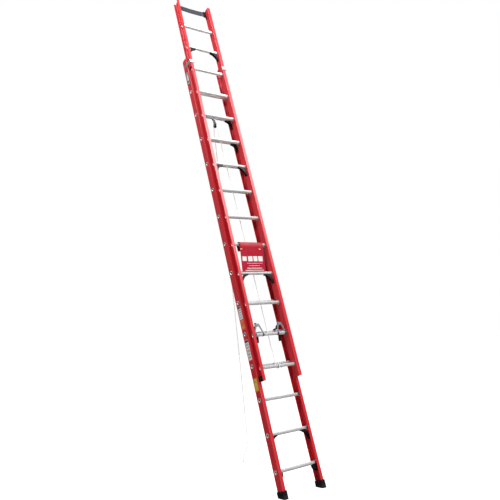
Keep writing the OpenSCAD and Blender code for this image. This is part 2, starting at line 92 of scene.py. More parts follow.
def fly_rung_z(n):
    return FIRST_RUNG + PITCH * (n - 1 + RAISED) - FLY_DROP


def leaned(x, y, z):
    """A point of the ladder's frame, in the row frame and in metres."""
    s, c = math.sin(LEAN), math.cos(LEAN)
    return Vector((x, y * c + z * s, -y * s + z * c)) * MM


def put(name, mesh):
    obj = bpy.data.objects.new(name, mesh)
    scene.collection.objects.link(obj)
    return obj


def mesh_of(name, verts, faces, smooth=True):
    mesh = bpy.data.meshes.new(name)
    mesh.from_pydata([tuple(v) for v in verts], [], [tuple(f) for f in faces])
    mesh.validate()
    if smooth:
        mesh.shade_smooth()
    return mesh


# ---- camera ----
def make_camera():
    data = bpy.data.cameras.new("camera")
    data.sensor_width = 36.0
    data.lens = 39.67776
    data.clip_start, data.clip_end = 0.05, 200.0
    az, el, roll = (math.radians(a) for a in (35.155, 9.698, -5.807))
    ahead = Vector((math.sin(az) * math.cos(el), math.cos(az) * math.cos(el), math.sin(el)))
    level = Vector((math.cos(az), -math.sin(az), 0))
    rise = level.cross(ahead)
    right = level * math.cos(roll) + rise * math.sin(roll)
    up = rise * math.cos(roll) - level * math.sin(roll)
    cam = put("camera", data)
    turn = Matrix((right, up, -ahead)).transposed().to_4x4()
    cam.matrix_world = Matrix.Translation((-3.098, -3.982, 1.2965)) @ turn
    scene.camera = cam


make_camera()


# ---- ropes ----
def through(points, step):
    """A smooth line through the points, as an array with points about step apart."""
    p = np.array([tuple(q) for q in points], float)
    chord = np.linalg.norm(np.diff(p, axis=0), axis=1)
    slope = np.gradient(p, np.concatenate([[0], np.cumsum(chord)]), axis=0)
    out = [p[:1]]
    for i, h in enumerate(chord):
        n = max(2, math.ceil(h / step))
        u = np.arange(1, n + 1)[:, None] / n
        out.append(
            (2 * u**3 - 3 * u**2 + 1) * p[i]
            + (u**3 - 2 * u**2 + u) * h * slope[i]
            + (3 * u**2 - 2 * u**3) * p[i + 1]
            + (u**3 - u**2) * h * slope[i + 1]
        )
    line = np.concatenate(out)
    along = np.concatenate([[0], np.cumsum(np.linalg.norm(np.diff(line, axis=0), axis=1))])
    at = np.linspace(0, along[-1], max(2, round(along[-1] / step) + 1))
    return np.stack([np.interp(at, along, line[:, k]) for k in range(3)], axis=1)


def carried_frames(line):
    """Two directions across the line at each point, carried along it without twist."""
    heading = np.gradient(line, axis=0)
    heading /= np.linalg.norm(heading, axis=1)[:, None]
    u = np.cross(heading[0], (1.0, 0.0, 0.0))
    if np.linalg.norm(u) < 0.1:
        u = np.cross(heading[0], (0.0, 1.0, 0.0))
    across = []
    for h in heading:
        u = u - (u @ h) * h
        u /= np.linalg.norm(u)
        across.append(u)
    across = np.array(across)
    return across, np.cross(heading, across)


def tube(name, line, radius_at, sides, groove=None):
    """A closed tube whose radius at ring i and angle a is radius_at(i, a)."""
    u, v = carried_frames(line)
    a = np.arange(sides) * 2 * math.pi / sides
    r = np.array([radius_at(i, a) for i in range(len(line))])
    rings = (
        line[:, None]
        + (r * np.cos(a))[:, :, None] * u[:, None]
        + (r * np.sin(a))[:, :, None] * v[:, None]
    )
    n = len(line)
    faces = []
    for i in range(n - 1):
        for k in range(sides):
            a, b = i * sides + k, i * sides + (k + 1) % sides
            faces.append((a, b, b + sides, a + sides))
    faces.append(range(sides - 1, -1, -1))
    faces.append(range((n - 1) * sides, n * sides))
    mesh = mesh_of(name, rings.reshape(-1, 3), faces)
    if groove is not None:
        layer = mesh.attributes.new("groove", "FLOAT", "POINT")
        layer.data.foreach_set("value", groove(r).astype(np.float32).ravel())
    return put(name, mesh)


def laid_rope(name, points, radius=ROPE_R * MM, lay=0.030, step=0.0022, sides=18):
    """A rope of three laid strands along the points, and its centre line."""
    line = through(points, step)
    strand, off_axis = 0.464, 0.536

    def outline(i, a):
        turned = (a - 2 * math.pi * i * step / lay) % (2 * math.pi / 3) - math.pi / 3
        inside = np.maximum(strand**2 - (off_axis * np.sin(turned)) ** 2, 0)
        return radius * np.maximum(off_axis * np.cos(turned) + np.sqrt(inside), 0.74)

    # The groove attribute, each point's depth between the strands, masks the rope's painted shade.
    rope = tube(name, line, outline, sides, lambda r: (1 - r / radius) / 0.26)
    return rope, [tuple(p) for p in line]


FREE_END = [
    (0, 0, 3450), (2, -5, 3150), (6, -13, 2850), (10, -21, 2550), (13, -28, 2250),
    (16, -33, 1950), (18, -37, 1650), (19, -39, 1350), (20, -40, 1050), (20, -40, 750),
    (20, -40, 550), (20, -40, 440), (19, -39, 380), (16, -37, 340), (9, -32, 305),
    (-2, -26, 275), (-14, -20, 248), (-24, -15, 220), (-30, -12, 190), (-33, -11, 165),
]


def free_route():
    """Over the sheave from its front, then down behind the ladder: the points of halyard_free."""
    hub = leaned(*PULLEY)
    over = [math.radians(a) for a in np.arange(180 - math.degrees(LEAN), 0, -15)]
    points = [hub + Vector((0, math.cos(a), math.sin(a))) * WRAP_R * MM for a in over]
    back = hub.y / MM + WRAP_R
    points += [Vector((hub.x / MM + x, back + y, z)) * MM for x, y, z in FREE_END]
    return points


FALL_TOP = leaned(PULLEY[0], PULLEY[1] - WRAP_R, PULLEY[2])
FALL_LOW = leaned(KNOT_X, FLY_Y + 31, fly_rung_z(1) + 26)


def knot_route():
    """From the end of the fall twice round the fly's lowest rung, two hitches and a tail."""
    rung = leaned(KNOT_X, FLY_Y, fly_rung_z(1))
    wrap = 23.6

    def turn(x0, x1, start, end):
        """Down behind the D-shaped rung, under it, up its front and back over the top."""
        under = [math.radians(a) for a in np.arange(start, -181, -20)]
        loop = [(wrap * math.cos(a), 5 + wrap * math.sin(a)) for a in under]
        loop += [(-23.8, 12), (-22.2, 17), (-17, 18.6), (-6, 18.5), (6, 18.5), (17, 18.6)]
        loop += end
        share = np.linspace(0, 1, len(loop))
        return [(x0 + (x1 - x0) * t, y, z) for t, (y, z) in zip(share, loop)]

    route = [(0, 35.7, 17.7), (-0.4, 34.6, 8), (-1.6, 31.5, -1), (-3, 26.5, -9)]
    route += turn(-4.2, 0.0, -50, [(22.6, 16.5), (24.2, 10)])
    route += turn(0.6, 5.0, -10, [(23, 16.2), (28, 13.5)])
    route += [
        (5.6, 35, 13), (3.8, 42, 12.2), (-1.5, 44.2, 11.4), (-7, 41, 10.4), (-9, 35, 9),
        (-6, 28.6, 6.5), (1, 27, 3.5), (7, 30.5, 1.6), (8.6, 36.5, 0.8), (4, 42, 0.4),
        (-2.5, 42.4, 0), (-7.5, 37.6, -1), (-5.4, 31.4, -3), (2, 29, -4.8), (12, 29.5, -6),
        (24, 31, -7), (38, 31.5, -9), (52, 30, -13), (62, 28.5, -19), (68, 28, -27),
    ]
    return [rung + Vector(p) * MM for p in route]


def whipping(name, line, radius, turns, pitch):
    """Thin thread wound round the last part of a rope, in metres."""
    thread_r, per_turn = 0.00052, 14
    u, v = carried_frames(line)
    step = np.linalg.norm(line[-1] - line[-2])
    count = turns * per_turn
    points = []
    for k in range(count + 1):
        at = len(line) - 3 - k * pitch / per_turn / step
        i = int(at)
        centre = line[i] + (line[i + 1] - line[i]) * (at - i)
        a = 2 * math.pi * k / per_turn
        points.append(centre + radius * (math.cos(a) * u[i] + math.sin(a) * v[i]))
    return tube(name, np.array(points), lambda i, a: np.full(len(a), thread_r), 6)


rope_free, free_line = laid_rope("rope_free_end", free_route())
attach(rope_free, "base")
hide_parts("halyard_free")
rope_whipping = whipping("rope_whipping", np.array(free_line), 0.0041, 13, 0.00105)
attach(rope_whipping, "base")

rope_fall, fall_line = laid_rope("rope_fall", [FALL_TOP, FALL_TOP.lerp(FALL_LOW, 0.5), FALL_LOW])
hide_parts("halyard_fall")

rope_knot, _ = laid_rope("rope_knot", knot_route(), step=0.0016)
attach(rope_knot, "fly")
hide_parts("halyard_knot")


# ---- the sign: a vinyl sheet hung over fly rung 5, its long front tucked behind rung 4 ----
SIGN_W = 280.0
SIGN_X = 8.0
SIGN_PATH = [
    (22.6, -62), (22.7, -42), (22.5, -18), (22.6, 2), (22.2, 12), (19.4, 18.2), (13, 20.8),
    (4, 21.2), (-8, 21.4), (-18, 20.6), (-24.6, 17.6), (-27.8, 11), (-28.4, 2), (-28.7, -10),
    (-27.9, -25), (-21.0, -60), (-8.7, -120), (3.6, -180), (15.6, -240), (20.9, -268),
    (22.4, -284), (22.6, -308),
]


def sign_line(step):
    """The sheet's profile, [y, z] in the ladder's frame about rung 5's axis, rear flap first."""
    line = through([(0, y, z) for y, z in SIGN_PATH], step)
    return line[:, 1:]


def sign_surface(x, y, z):
    """Slack of the sheet: long soft waves that fade out over the rung."""
    free = min(1.0, max(0.0, (-z - 5) / 60))
    lower = min(1.0, max(0.0, (-z - 215) / 50))
    wave = math.sin(x * 0.034 + z * 0.021) + 0.6 * math.sin(x * 0.071 - z * 0.013 + 1.3)
    return y + 0.9 * free * (1 - 0.8 * lower) * wave


def sign_sheet_mesh(name, columns, profile, thick, offset=0.0):
    """A solid sheet over these columns of x and points of the profile."""
    tangent = np.gradient(profile, axis=0)
    tangent /= np.linalg.norm(tangent, axis=1)[:, None]
    normal = np.stack([tangent[:, 1], -tangent[:, 0]], axis=1)
    verts, faces = [], []
    nx, nv = len(columns), len(profile)
    for side in (0, 1):
        lift = offset - thick * side
        for (y, z), (ny, nz) in zip(profile, normal):
            for x in columns:
                place = leaned(SIGN_X + x, sign_surface(x, y, z) + ny * lift, z + nz * lift)
                verts.append(place + leaned(0, FLY_Y, fly_rung_z(5)))
    side_size = nx * nv
    for j in range(nv - 1):
        for i in range(nx - 1):
            a = j * nx + i
            quad = (a, a + 1, a + nx + 1, a + nx)
            faces.append(quad)
            faces.append([q + side_size for q in reversed(quad)])
    rim = [j * nx for j in range(nv)] + [(nv - 1) * nx + i for i in range(1, nx)]
    rim += [j * nx + nx - 1 for j in range(nv - 2, -1, -1)] + list(range(nx - 2, 0, -1))
    for a, b in zip(rim, rim[1:] + rim[:1]):
        faces.append((a, b, b + side_size, a + side_size))
    return mesh_of(name, verts, faces)


def sign_part(name, x0, x1, profile, thick, offset, across=6.0):
    columns = np.linspace(x0, x1, max(2, round((x1 - x0) / across) + 1))
    return put(name, sign_sheet_mesh(name, columns, profile, thick, offset))


sign_profile = sign_line(4.0)
sign = sign_part("sign_sheet", -SIGN_W / 2, SIGN_W / 2, sign_profile, 1.1, 0.55)
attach(sign, "fly")
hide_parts("sign_panel")


def joined(name, objs):
    """The meshes of several objects as one object."""
    bm = bmesh.new()
    materials = []
    for obj in objs:
        mesh = obj.data
        mesh.transform(obj.matrix_world)
        start = len(bm.faces)
        bm.from_mesh(mesh)
        bm.faces.ensure_lookup_table()
        mat = mesh.materials[0] if mesh.materials else None
        if mat not in materials:
            materials.append(mat)
        for face in bm.faces[start:]:
            face.material_index = materials.index(mat)
        bpy.data.objects.remove(obj)
    mesh = bpy.data.meshes.new(name)
    bm.to_mesh(mesh)
    bm.free()
    for mat in materials:
        if mat is not None:
            mesh.materials.append(mat)
    return put(name, mesh)


hem_w = 14.0
hems = [
    sign_part("hem", side * SIGN_W / 2 - (hem_w if side > 0 else 0),
              side * SIGN_W / 2 + (0 if side > 0 else hem_w), sign_profile, 0.7, 1.2, 7.0)
    for side in (-1, 1)
]
hems.append(sign_part("hem", -SIGN_W / 2 + hem_w, SIGN_W / 2 - hem_w, sign_profile[-4:], 0.7, 1.2))
sign_hem = joined("sign_hem", hems)
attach(sign_hem, "fly")


def front_rows(top, low):
    """The part of the sheet's long front between two heights below the rung."""
    rows = sign_line(3.0)
    front = rows[len(rows) // 3:]
    return front[(front[:, 1] <= top) & (front[:, 1] >= low)]


# Plain bars stand for the print: [x0, x1, top, low].
SIGN_BARS = [
    (-124, -74, -128, -174), (-56, -4, -124, -178), (6, 54, -124, -178), (64, 118, -124, -178),
    (-74, 108, -190, -196), (-56, 74, -215, -221), (-80, 98, -238, -246), (-102, 118, -259, -267),
]
bars = [
    sign_part("bar", x0, x1, front_rows(top, low), 0.25, 0.8, 5.0)
    for x0, x1, top, low in SIGN_BARS
]
sign_print = joined("sign_print", bars)
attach(sign_print, "fly")


def ring(name, centre, axis, profile, sides=40):
    """A closed ring: a profile of [radius, height] turned about an axis."""
    w = Vector(axis).normalized()
    u = w.orthogonal().normalized()
    v = w.cross(u)
    verts, faces = [], []
    n = len(profile)
    for k in range(sides):
        a = 2 * math.pi * k / sides
        out = u * math.cos(a) + v * math.sin(a)
        verts += [centre + (out * r + w * h) * MM for r, h in profile]
    for k in range(sides):
        for i in range(n):
            a, b = k * n + i, k * n + (i + 1) % n
            c, d = (k + 1) % sides * n + (i + 1) % n, (k + 1) % sides * n + i
            faces.append((a, d, c, b))
    return put(name, mesh_of(name, verts, faces))


EYELET = [
    (5.0, -1.9), (5.0, 1.9), (5.6, 2.6), (6.6, 2.9), (8.0, 2.5), (9.2, 1.5), (9.4, 0.9),
    (9.4, -0.9), (9.2, -1.5), (8.0, -2.5), (6.6, -2.9), (5.6, -2.6),
]
EYELETS_X, EYELET_Z = (-124.0, 95.0), -54.0
front = leaned(0, -1, 0.205)
eyelets = joined("sign_eyelets", [
    ring("eyelet", leaned(SIGN_X + x, FLY_Y - 22.15, fly_rung_z(5) + EYELET_Z), front, EYELET)
    for x in EYELETS_X
])
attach(eyelets, "fly")


# ---- labels on the base's left rail ----
def rounded_plate(name, x, y0, y1, z0, z1, thick, corner):
    """A thin plate with round corners on the rail's outer face, x being its inner side."""
    outline = []
    for cy, cz, start in (
        (y1 - corner, z1 - corner, 0), (y0 + corner, z1 - corner, 90),
        (y0 + corner, z0 + corner, 180), (y1 - corner, z0 + corner, 270),
    ):
        for k in range(7):
            a = math.radians(start + 15 * k)
            outline.append((cy + corner * math.cos(a), cz + corner * math.sin(a)))
    n = len(outline)
    levels = [(0, 0), (thick * 0.6, 0), (thick, 0.25)]
    cy, cz = (y0 + y1) / 2, (z0 + z1) / 2
    verts = []
    for rise, inset in levels:
        for y, z in outline:
            dy, dz = y - cy, z - cz
            far = math.hypot(dy, dz)
            verts.append(leaned(x - rise, y - dy / far * inset, z - dz / far * inset))
    faces = [
        (j * n + i, j * n + (i + 1) % n, (j + 1) * n + (i + 1) % n, (j + 1) * n + i)
        for j in range(2) for i in range(n)
    ]
    faces.append(range(n - 1, -1, -1))
    faces.append(range(2 * n, 3 * n))
    return put(name, mesh_of(name, verts, faces, smooth=False))


BASE_OUT = -230.0
# Each label: its height range, width, colour, and fields of [share up from, share up to, side
# margin, colour]. A pale field lies under the others.
LABELS = [
    ("label_upper", 4272, 4447, 54, "dark", [
        (0.07, 0.93, 11, "pale"), (0.82, 0.9, 14, "violet"), (0.7, 0.78, 14, "violet"),
        (0.54, 0.61, 14, "grey"), (0.4, 0.47, 14, "grey"), (0.14, 0.3, 14, "violet"),
    ]),
    ("label_middle", 1572, 1697, 54, "pale", [
        (0.84, 0.98, 1.5, "violet"), (0.66, 0.78, 6, "grey"), (0.48, 0.58, 6, "grey"),
        (0.3, 0.4, 6, "grey"), (0.1, 0.2, 6, "grey"),
    ]),
    ("label_orange", 1473, 1567, 60, "orange", [(0.8, 0.93, 6, "amber"), (0.12, 0.4, 7, "amber")]),
    ("label_lower", 1185, 1373, 54, "pale", [
        (0.88, 0.985, 1.5, "dark"), (0.72, 0.82, 6, "grey"), (0.58, 0.66, 6, "grey"),
        (0.4, 0.52, 6, "grey"), (0.25, 0.33, 6, "grey"), (0.08, 0.18, 6, "grey"),
    ]),
    ("label_yellow", 903, 1017, 56, "yellow", [(0.8, 0.92, 6, "straw"), (0.14, 0.66, 8, "straw")]),
]
label_parts = {}
for label, z0, z1, wide, ground, fields in LABELS:
    plate = rounded_plate(label, BASE_OUT - 0.02, -wide / 2, wide / 2, z0, z1, 0.35, 4.0)
    label_parts[label] = [(plate, ground)]
    for low, high, margin, ink in fields:
        field = rounded_plate(
            label + "_field", BASE_OUT - 0.36, -wide / 2 + margin, wide / 2 - margin,
            z0 + (z1 - z0) * low, z0 + (z1 - z0) * high, 0.07 if ink == "pale" else 0.14, 1.2,
        )
        label_parts[label].append((field, ink))


# ---- pole strap: webbing between its two clips ----
STRAP_Z = fly_rung_z(14) + 304
STRAP_Y = FLY_Y + 24
STRAP_HALF = 177.0


def strap_mesh(name):
    """A thick woven band with seven soft ribs along it, a little slack between its clips."""
    outline = []
    ribs, half_h, half_t = 7, 34.6, 3.2
    steps = 70
    for k in range(steps + 1):
        z = -half_h + 2 * half_h * k / steps
        rib = 0.5 * abs(math.sin(math.pi * ribs * k / steps)) ** 0.7
        edge = math.sqrt(max(0.0, 1 - (abs(z) / half_h) ** 14))
        outline.append((-(half_t * edge + rib * edge), z))
    outline += [(-y, z) for y, z in reversed(outline[1:-1])]
    n, stations = len(outline), 60
    verts, faces = [], []
    for i in range(stations + 1):
        x = -STRAP_HALF + 2 * STRAP_HALF * i / stations
        slack = max(0.0, 1 - (x / 150) ** 2)
        for y, z in outline:
            bow = 5.0 * slack + 0.5 * slack * math.sin(x * 0.05 + z * 0.09)
            verts.append(leaned(x, STRAP_Y + y + bow, STRAP_Z + z - 1.2 * slack))
    for i in range(stations):
        for k in range(n):
            a, b = i * n + k, i * n + (k + 1) % n
            faces.append((a, b, b + n, a + n))
    faces.append(range(n - 1, -1, -1))
    faces.append(range(stations * n, (stations + 1) * n))
    return mesh_of(name, verts, faces)


strap = put("pole_strap_webbing", strap_mesh("pole_strap_webbing"))
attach(strap, "fly")
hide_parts("pole_strap")


def capsule(name, start, end, radius):
    """One stitch: a short thread from start to end."""
    line = through([start, start.lerp(end, 0.5), end], (end - start).length / 6)
    n = len(line)
    taper = [math.sqrt(max(0.02, 1 - ((2 * i / (n - 1) - 1) ** 4))) for i in range(n)]
    return tube(name, line, lambda i, a: np.full(len(a), radius * taper[i]), 8)


stitches = []
for side in (-1, 1):
    for x in (135.0, 140.5):
        for k in range(13):
            z = STRAP_Z - 30 + 5 * k
            y = STRAP_Y - 3.4
            stitches.append(capsule(
                "stitch", leaned(side * x, y, z - 1.6), leaned(side * x, y, z + 1.6), 0.0007
            ))
strap_stitches = joined("pole_strap_stitches", stitches)
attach(strap_stitches, "fly")


# ---- moulded and formed parts, with their edges rounded ----
def rounded_copy(node, name, width, segments=2, angle=38):
    """The node's shape with rounded edges, as a piece that stands for it."""
    bm = bmesh.new()
    bm.from_mesh(nodes[node].data)
    bmesh.ops.remove_doubles(bm, verts=bm.verts, dist=2e-5)
    bmesh.ops.dissolve_limit(
        bm, angle_limit=math.radians(0.6), verts=bm.verts, edges=bm.edges,
        use_dissolve_boundaries=False,
    )
    mesh = bpy.data.meshes.new(name)
    verts = [v.co.copy() for v in bm.verts]
    bm.verts.index_update()
    faces = [[v.index for v in f.verts] for f in bm.faces]
    bm.free()
    mesh.from_pydata(verts, [], faces)
    mesh.validate()
    obj = put(name, mesh)
    mesh.shade_smooth()
    bevel = obj.modifiers.new("edges", "BEVEL")
    bevel.width = width * MM
    bevel.segments = segments
    bevel.limit_method = "ANGLE"
    bevel.angle_limit = math.radians(angle)
    bevel.harden_normals = True
    bevel.use_clamp_overlap = True
    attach(obj, nodes[node]["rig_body"])
    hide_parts(node)
    return obj


SLOTS = {row["node"]: row["material_slot"] for row in frame["record"]["subparts"]}
# Each rounded node: the piece that stands for it, its edge width in mm and the edge's steps.
ROUNDED = [
    ("foot_boot_left", "rubber_boot_left", 2.2, 3),
    ("foot_boot_right", "rubber_boot_right", 2.2, 3),
    ("base_rung_braces", "base_braces_moulded", 1.2, 2),
    ("fly_rung_braces", "fly_braces_moulded", 1.2, 2),
    ("guide_pads", "guide_pads_moulded", 1.0, 2),
    ("fly_end_guides", "fly_end_guides_moulded", 1.0, 2),
    ("strap_brackets", "strap_clips_moulded", 1.4, 2),
    ("guide_bracket_left", "guide_bracket_formed_left", 0.6, 2),
    ("guide_bracket_right", "guide_bracket_formed_right", 0.6, 2),
    ("lock_hook_left", "lock_hook_cast_left", 1.2, 2),
    ("lock_hook_right", "lock_hook_cast_right", 1.2, 2),
    ("lock_tongue_left", "lock_tongue_cast_left", 1.2, 2),
    ("lock_tongue_right", "lock_tongue_cast_right", 1.2, 2),
]
rounded = {}
for node_name, piece_name, edge_mm, edge_steps in ROUNDED:
    piece = rounded_copy(node_name, piece_name, edge_mm, edge_steps)
    rounded[piece_name] = SLOTS[node_name]


# ---- materials ----
def srgb(r, g, b):
    """A colour given in sRGB's 0 to 255, as linear RGBA."""
    def linear(c):
        c /= 255
        return c / 12.92 if c <= 0.04045 else ((c + 0.055) / 1.055) ** 2.4
    return (linear(r), linear(g), linear(b), 1.0)


class Look:
    """A Principled material with textures laid out in the ladder's own frame, in metres."""

    def __init__(self, name, color, roughness, metallic=0.0, edge=0.0, **sockets):
        self.material = bpy.data.materials.new(name)
        self.material.use_nodes = True
        self.tree = self.material.node_tree
        self.shader = self.tree.nodes["Principled BSDF"]
        self.shader.inputs["Base Color"].default_value = color
        self.shader.inputs["Roughness"].default_value = roughness
        self.shader.inputs["Metallic"].default_value = metallic
        for key, value in sockets.items():
            self.shader.inputs[key.replace("_", " ")].default_value = value
        self.color = color
        self.normal = None
        if edge:
            bevel = self.add("ShaderNodeBevel")
            bevel.samples = 4
            bevel.inputs["Radius"].default_value = edge * MM
            self.normal = bevel.outputs["Normal"]
            self.link(self.normal, self.shader.inputs["Normal"])
        coord = self.add("ShaderNodeTexCoord")
        turn = self.add("ShaderNodeMapping")
        turn.inputs["Rotation"].default_value = (LEAN, 0, 0)
        self.link(coord.outputs["Object"], turn.inputs["Vector"])
        self.place = turn.outputs["Vector"]

    def add(self, kind):
        return self.tree.nodes.new(kind)

    def link(self, a, b):
        self.tree.links.new(a, b)

    def scaled(self, scale):
        m = self.add("ShaderNodeMapping")
        m.inputs["Scale"].default_value = scale if hasattr(scale, "__len__") else (scale,) * 3
        self.link(self.place, m.inputs["Vector"])
        return m.outputs["Vector"]

    def noise(self, scale, detail=3.0, rough=0.55, warp=0.0):
        n = self.add("ShaderNodeTexNoise")
        n.inputs["Scale"].default_value = 1.0
        n.inputs["Detail"].default_value = detail
        n.inputs["Roughness"].default_value = rough
        n.inputs["Distortion"].default_value = warp
        self.link(self.scaled(scale), n.inputs["Vector"])
        return n.outputs["Fac"]

    def cells(self, scale):
        n = self.add("ShaderNodeTexVoronoi")
        n.inputs["Scale"].default_value = 1.0
        self.link(self.scaled(scale), n.inputs["Vector"])
        return n.outputs["Distance"]

    def bands(self, direction, per_metre, warp=0.0, profile="SIN"):
        n = self.add("ShaderNodeTexWave")
        n.wave_profile = profile
        n.bands_direction = direction
        n.inputs["Scale"].default_value = per_metre * 0.314
        n.inputs["Distortion"].default_value = warp
        self.link(self.place, n.inputs["Vector"])
        return n.outputs["Fac"]

    def spread(self, value, low, high, to_low=0.0, to_high=1.0):
        n = self.add("ShaderNodeMapRange")
        for key, number in (
            ("From Min", low), ("From Max", high), ("To Min", to_low), ("To Max", to_high),
        ):
            n.inputs[key].default_value = number
        self.link(value, n.inputs["Value"])
        return n.outputs["Result"]

    def math(self, kind, a, b):
        n = self.add("ShaderNodeMath")
        n.operation = kind
        for socket, value in zip(n.inputs, (a, b)):
            if isinstance(value, (int, float)):
                socket.default_value = value
            else:
                self.link(value, socket)
        return n.outputs["Value"]

    def attribute(self, name):
        n = self.add("ShaderNodeAttribute")
        n.attribute_name = name
        return n.outputs["Fac"]

    def closed(self, reach, low, high):
        """Mask for painted shade, from ambient occlusion: 1 in hollows, falling to 0 where the
        surface is open; reach in metres.
        """
        n = self.add("ShaderNodeAmbientOcclusion")
        n.samples = 8
        n.inputs["Distance"].default_value = reach
        return self.spread(n.outputs["AO"], low, high, 1.0, 0.0)

    def along(self, axis):
        n = self.add("ShaderNodeSeparateXYZ")
        self.link(self.place, n.inputs["Vector"])
        return n.outputs[axis]

    def tint(self, fac, color):
        """Mixes the colour so far towards another one by fac."""
        n = self.add("ShaderNodeMix")
        n.data_type = "RGBA"
        self.link(fac, n.inputs[0])
        if isinstance(self.color, tuple):
            n.inputs[6].default_value = self.color
        else:
            self.link(self.color, n.inputs[6])
        n.inputs[7].default_value = color
        self.color = n.outputs[2]
        self.link(self.color, self.shader.inputs["Base Color"])
        return self

    def rough(self, value, low, high, to_low, to_high):
        self.link(self.spread(value, low, high, to_low, to_high), self.shader.inputs["Roughness"])
        return self

    def bump(self, height, depth_mm, strength=1.0):
        n = self.add("ShaderNodeBump")
        n.inputs["Strength"].default_value = strength
        n.inputs["Distance"].default_value = depth_mm * MM
        self.link(height, n.inputs["Height"])
        if self.normal is not None:
            self.link(self.normal, n.inputs["Normal"])
        self.normal = n.outputs["Normal"]
        self.link(self.normal, self.shader.inputs["Normal"])
        return self


def fibreglass():
    """Pultruded red polyester: strands along the rail under a glossy skin."""
    m = Look("red_fibreglass", srgb(200, 26, 38), 0.36, edge=0.8,
             Coat_Weight=0.3, Coat_Roughness=0.24, Specular_IOR_Level=0.5)
    strands = m.noise((900, 900, 7), 4, 0.6)
    bundles = m.noise((160, 160, 1.6), 3, 0.5)
    clouds = m.noise((6, 6, 2.2), 3, 0.5)
    m.tint(m.spread(bundles, 0.42, 0.72, 0.0, 0.35), srgb(216, 44, 56))
    m.tint(m.spread(strands, 0.45, 0.75, 0.0, 0.22), srgb(160, 14, 26))
    m.tint(m.spread(clouds, 0.4, 0.75, 0.0, 0.25), srgb(182, 20, 32))
    m.rough(clouds, 0.3, 0.7, 0.32, 0.44)
    m.bump(strands, 0.05, 0.5).bump(bundles, 0.1, 0.4)
    return m.material


def extruded_aluminium():
    """Satin extrusion with drawing lines along the rung, and painted shade inside its bore."""
    m = Look("rung_aluminium", srgb(240, 241, 242), 0.34, 0.5, edge=0.5)
    drawn = m.noise((3, 900, 900), 4, 0.6)
    smear = m.noise((9, 60, 60), 3, 0.55)
    m.tint(m.spread(drawn, 0.4, 0.75, 0.0, 0.4), srgb(190, 193, 198))
    m.tint(m.spread(smear, 0.5, 0.8, 0.0, 0.3), srgb(206, 207, 208))
    # Painted shade: ambient occlusion darkens the hollow rung ends and bores.
    m.tint(m.closed(0.03, 0.4, 0.85), srgb(52, 48, 50))
    m.rough(smear, 0.3, 0.75, 0.4, 0.56)
    m.bump(drawn, 0.03, 0.5)
    return m.material


def formed_steel(name, color, worn, roughness):
    """Zinc-plated or galvanised sheet and wire."""
    m = Look(name, color, roughness, 1.0, edge=0.5)
    distance = m.cells(210)
    mottle = m.noise(45, 4, 0.6)
    m.tint(m.spread(distance, 0.2, 0.8, 0.0, 0.35), worn)
    m.tint(m.spread(mottle, 0.5, 0.8, 0.0, 0.35), srgb(150, 153, 158))
    m.rough(mottle, 0.3, 0.75, roughness - 0.06, roughness + 0.14)
    m.bump(m.noise(600, 3), 0.03, 0.4)
    return m.material


def moulded_plastic():
    m = Look("black_plastic", srgb(10, 10, 12), 0.46, edge=0.6, Specular_IOR_Level=0.25)
    grain = m.noise(1500, 2, 0.6)
    flow = m.noise(22, 3, 0.5)
    m.tint(m.spread(flow, 0.45, 0.8, 0.0, 0.5), srgb(20, 20, 22))
    m.rough(flow, 0.3, 0.75, 0.4, 0.56)
    m.bump(grain, 0.05, 0.6)
    return m.material


def pale_nylon():
    m = Look("pale_plastic", srgb(222, 218, 212), 0.5, edge=0.6)
    flow = m.noise(30, 3, 0.5)
    m.tint(m.spread(flow, 0.45, 0.8, 0.0, 0.5), srgb(196, 190, 182))
    m.rough(flow, 0.3, 0.75, 0.42, 0.6)
    m.bump(m.noise(1400, 2, 0.6), 0.05, 0.5)
    return m.material


def cast_hook():
    m = Look("black_casting", srgb(12, 12, 14), 0.5, edge=0.6, Coat_Weight=0.15,
             Coat_Roughness=0.35, Specular_IOR_Level=0.3)
    peel = m.noise(420, 2, 0.5)
    dust = m.noise(60, 4, 0.65)
    m.tint(m.spread(dust, 0.5, 0.8, 0.0, 0.5), srgb(34, 34, 37))
    m.rough(dust, 0.3, 0.75, 0.42, 0.62)
    m.bump(peel, 0.12, 0.7)
    return m.material


def boot_rubber():
    """Black rubber with a fine tooled grain, dusty near the ground."""
    m = Look("black_rubber", srgb(12, 12, 13), 0.72, edge=0.8, Specular_IOR_Level=0.2)
    dust = m.noise(90, 5, 0.7)
    low = m.math("MULTIPLY", m.spread(m.along("Z"), -0.01, 0.05, 1.0, 0.0), dust)
    m.tint(m.spread(dust, 0.5, 0.8, 0.0, 0.3), srgb(24, 24, 24))
    m.tint(m.spread(low, 0.15, 0.6, 0.0, 0.4), srgb(66, 64, 60))
    m.rough(dust, 0.3, 0.8, 0.66, 0.85)
    m.bump(m.noise(1100, 2), 0.08, 0.6).bump(m.bands("Z", 330), 0.12, 0.35)
    return m.material


def webbing():
    """Slate-blue woven strap: rows of ribs crossed by picks."""
    m = Look("strap_webbing", srgb(44, 48, 62), 0.82, Sheen_Weight=0.15, Sheen_Roughness=0.5)
    picks = m.bands("X", 560)
    ends = m.bands("Z", 700)
    weave = m.math("MULTIPLY", picks, ends)
    fuzz = m.noise(1400, 3, 0.7)
    m.tint(m.spread(weave, 0.0, 0.9, 0.55, 0.0), srgb(24, 27, 37))
    m.tint(m.spread(fuzz, 0.5, 0.8, 0.0, 0.35), srgb(70, 76, 92))
    m.bump(weave, 0.35, 0.8).bump(fuzz, 0.08, 0.5)
    return m.material


def thread(name, color):
    m = Look(name, color, 0.8, Sheen_Weight=0.25)
    twist = m.noise(2600, 2, 0.6)
    m.tint(m.spread(twist, 0.45, 0.8, 0.0, 0.6), srgb(150, 146, 136))
    m.bump(twist, 0.06, 0.6)
    return m.material


